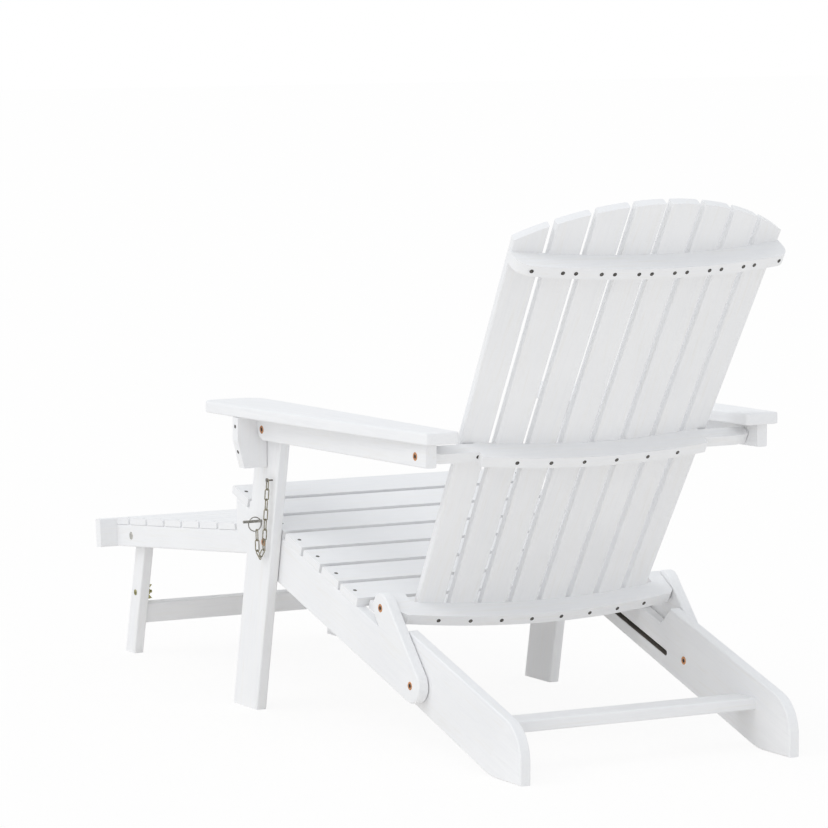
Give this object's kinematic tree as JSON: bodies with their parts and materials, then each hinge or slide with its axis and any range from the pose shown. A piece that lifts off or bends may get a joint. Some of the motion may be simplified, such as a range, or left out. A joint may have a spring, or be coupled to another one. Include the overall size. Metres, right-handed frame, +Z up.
{
  "type": "folding lounge chair",
  "caption": "Folding slatted lounge chair with fan-topped back, flat arms and a pull-out footrest on folding legs, in white painted wood.",
  "frame": {"origin": "on the floor, under the middle of the whole chair with its footrest pulled out", "axes": "+Z up, -Y the way the sitter faces, +X the sitter's left"},
  "size_m": [0.744, 1.5884, 0.9425],
  "materials": {
    "painted_wood": "satin white paint over softwood, brushed along the grain",
    "bolt_copper": "copper-coloured plated socket bolts",
    "zinc_steel": "zinc-plated steel",
    "chain_wire": "yellowed zinc-plated wire"
  },
  "bodies": {
    "seat": {"front_pivot_bolts": "bolt_copper", "rear_crossbar": "painted_wood", "rear_leg_bolts": "bolt_copper", "rear_leg_left": "painted_wood", "rear_leg_right": "painted_wood", "seat_slat_1": "painted_wood", "seat_slat_2": "painted_wood", "seat_slat_3": "painted_wood", "seat_slat_4": "painted_wood", "seat_slat_5": "painted_wood", "seat_slat_6": "painted_wood", "seat_slat_7": "painted_wood", "seat_slat_8": "painted_wood", "side_rail_left": "painted_wood", "side_rail_right": "painted_wood"},
    "back": {"back_pivot_bolts": "bolt_copper", "back_rail_lower": "painted_wood", "back_rail_middle": "painted_wood", "back_rail_upper": "painted_wood", "back_slat_1": "painted_wood", "back_slat_2": "painted_wood", "back_slat_3": "painted_wood", "back_slat_4": "painted_wood", "back_slat_5": "painted_wood", "back_slat_6": "painted_wood", "back_slat_7": "painted_wood", "back_slat_8": "painted_wood"},
    "front_leg_left": {"front_leg_left": "painted_wood", "lock_chain": "chain_wire", "chain_screw_eye": "chain_wire"},
    "front_leg_right": {"front_leg_right": "painted_wood"},
    "arm_left": {"arm_left": "painted_wood", "arm_rail_left": "painted_wood", "corbel_left": "painted_wood", "arm_bolts_left": "bolt_copper"},
    "arm_right": {"arm_right": "painted_wood", "arm_rail_right": "painted_wood", "corbel_right": "painted_wood", "arm_bolts_right": "bolt_copper"},
    "guide": {"guide_pegs": "zinc_steel"},
    "footrest": {"footrest_front_board": "painted_wood", "footrest_rail_left": "painted_wood", "footrest_rail_right": "painted_wood", "footrest_slat_1": "painted_wood", "footrest_slat_2": "painted_wood", "footrest_slat_3": "painted_wood", "footrest_slat_4": "painted_wood", "footrest_slat_5": "painted_wood", "footrest_slat_6": "painted_wood", "footrest_slat_7": "painted_wood", "footrest_slat_8": "painted_wood", "footrest_slat_9": "painted_wood", "footrest_leg_bolts": "bolt_copper"},
    "footrest_legs": {"footrest_leg_left": "painted_wood", "footrest_leg_right": "painted_wood", "footrest_leg_brace": "painted_wood", "footrest_wing_bolts": "zinc_steel"},
    "lock_pin": {"lock_pin": "zinc_steel"}
  },
  "joints": [
    {"name": "back_fold", "type": "hinge", "parent": "seat", "child": "back", "pos_m": [0, 0.34853, 0.236], "axis": [1, 0, 0], "range_deg": [-45, 0]},
    {"name": "front_leg_left_fold", "type": "hinge", "parent": "seat", "child": "front_leg_left", "pos_m": [0.293, -0.04147, 0.304], "axis": [1, 0, 0], "range_deg": [-57, 0]},
    {"name": "front_leg_right_fold", "type": "hinge", "parent": "seat", "child": "front_leg_right", "pos_m": [-0.293, -0.04147, 0.304], "axis": [1, 0, 0], "range_deg": [-57, 0]},
    {"name": "arm_left_fold", "type": "hinge", "parent": "front_leg_left", "child": "arm_left", "pos_m": [0.314, -0.00547, 0.508], "axis": [1, 0, 0], "range_deg": [0, 46]},
    {"name": "arm_right_fold", "type": "hinge", "parent": "front_leg_right", "child": "arm_right", "pos_m": [-0.314, -0.00547, 0.508], "axis": [1, 0, 0], "range_deg": [0, 46]},
    {"name": "footrest_slide", "type": "slide", "parent": "seat", "child": "guide", "axis": [0, 0.9553, -0.2957], "range_m": [0, 0.551]},
    {"name": "footrest_tilt", "type": "hinge", "parent": "guide", "child": "footrest", "pos_m": [0, -0.13427, 0.28668], "axis": [1, 0, 0], "range_deg": [-22.65, 0]},
    {"name": "footrest_leg_fold", "type": "hinge", "parent": "footrest", "child": "footrest_legs", "pos_m": [0, -0.71174, 0.2326], "axis": [1, 0, 0], "range_deg": [0, 105]},
    {"name": "lock_pin_pull", "type": "slide", "parent": "front_leg_left", "child": "lock_pin", "axis": [1, 0, 0], "range_m": [0, 0.045], "deforming": ["lock_chain"]}
  ],
  "couplings": [
    {"joint": "front_leg_left_fold", "follows": "back_fold", "ratio": 1.22},
    {"joint": "front_leg_right_fold", "follows": "back_fold", "ratio": 1.22},
    {"joint": "arm_left_fold", "follows": "back_fold", "ratio": -0.98},
    {"joint": "arm_right_fold", "follows": "back_fold", "ratio": -0.98},
    {"joint": "footrest_tilt", "follows": "footrest_slide", "rad_per_m": -0.71429}
  ]
}
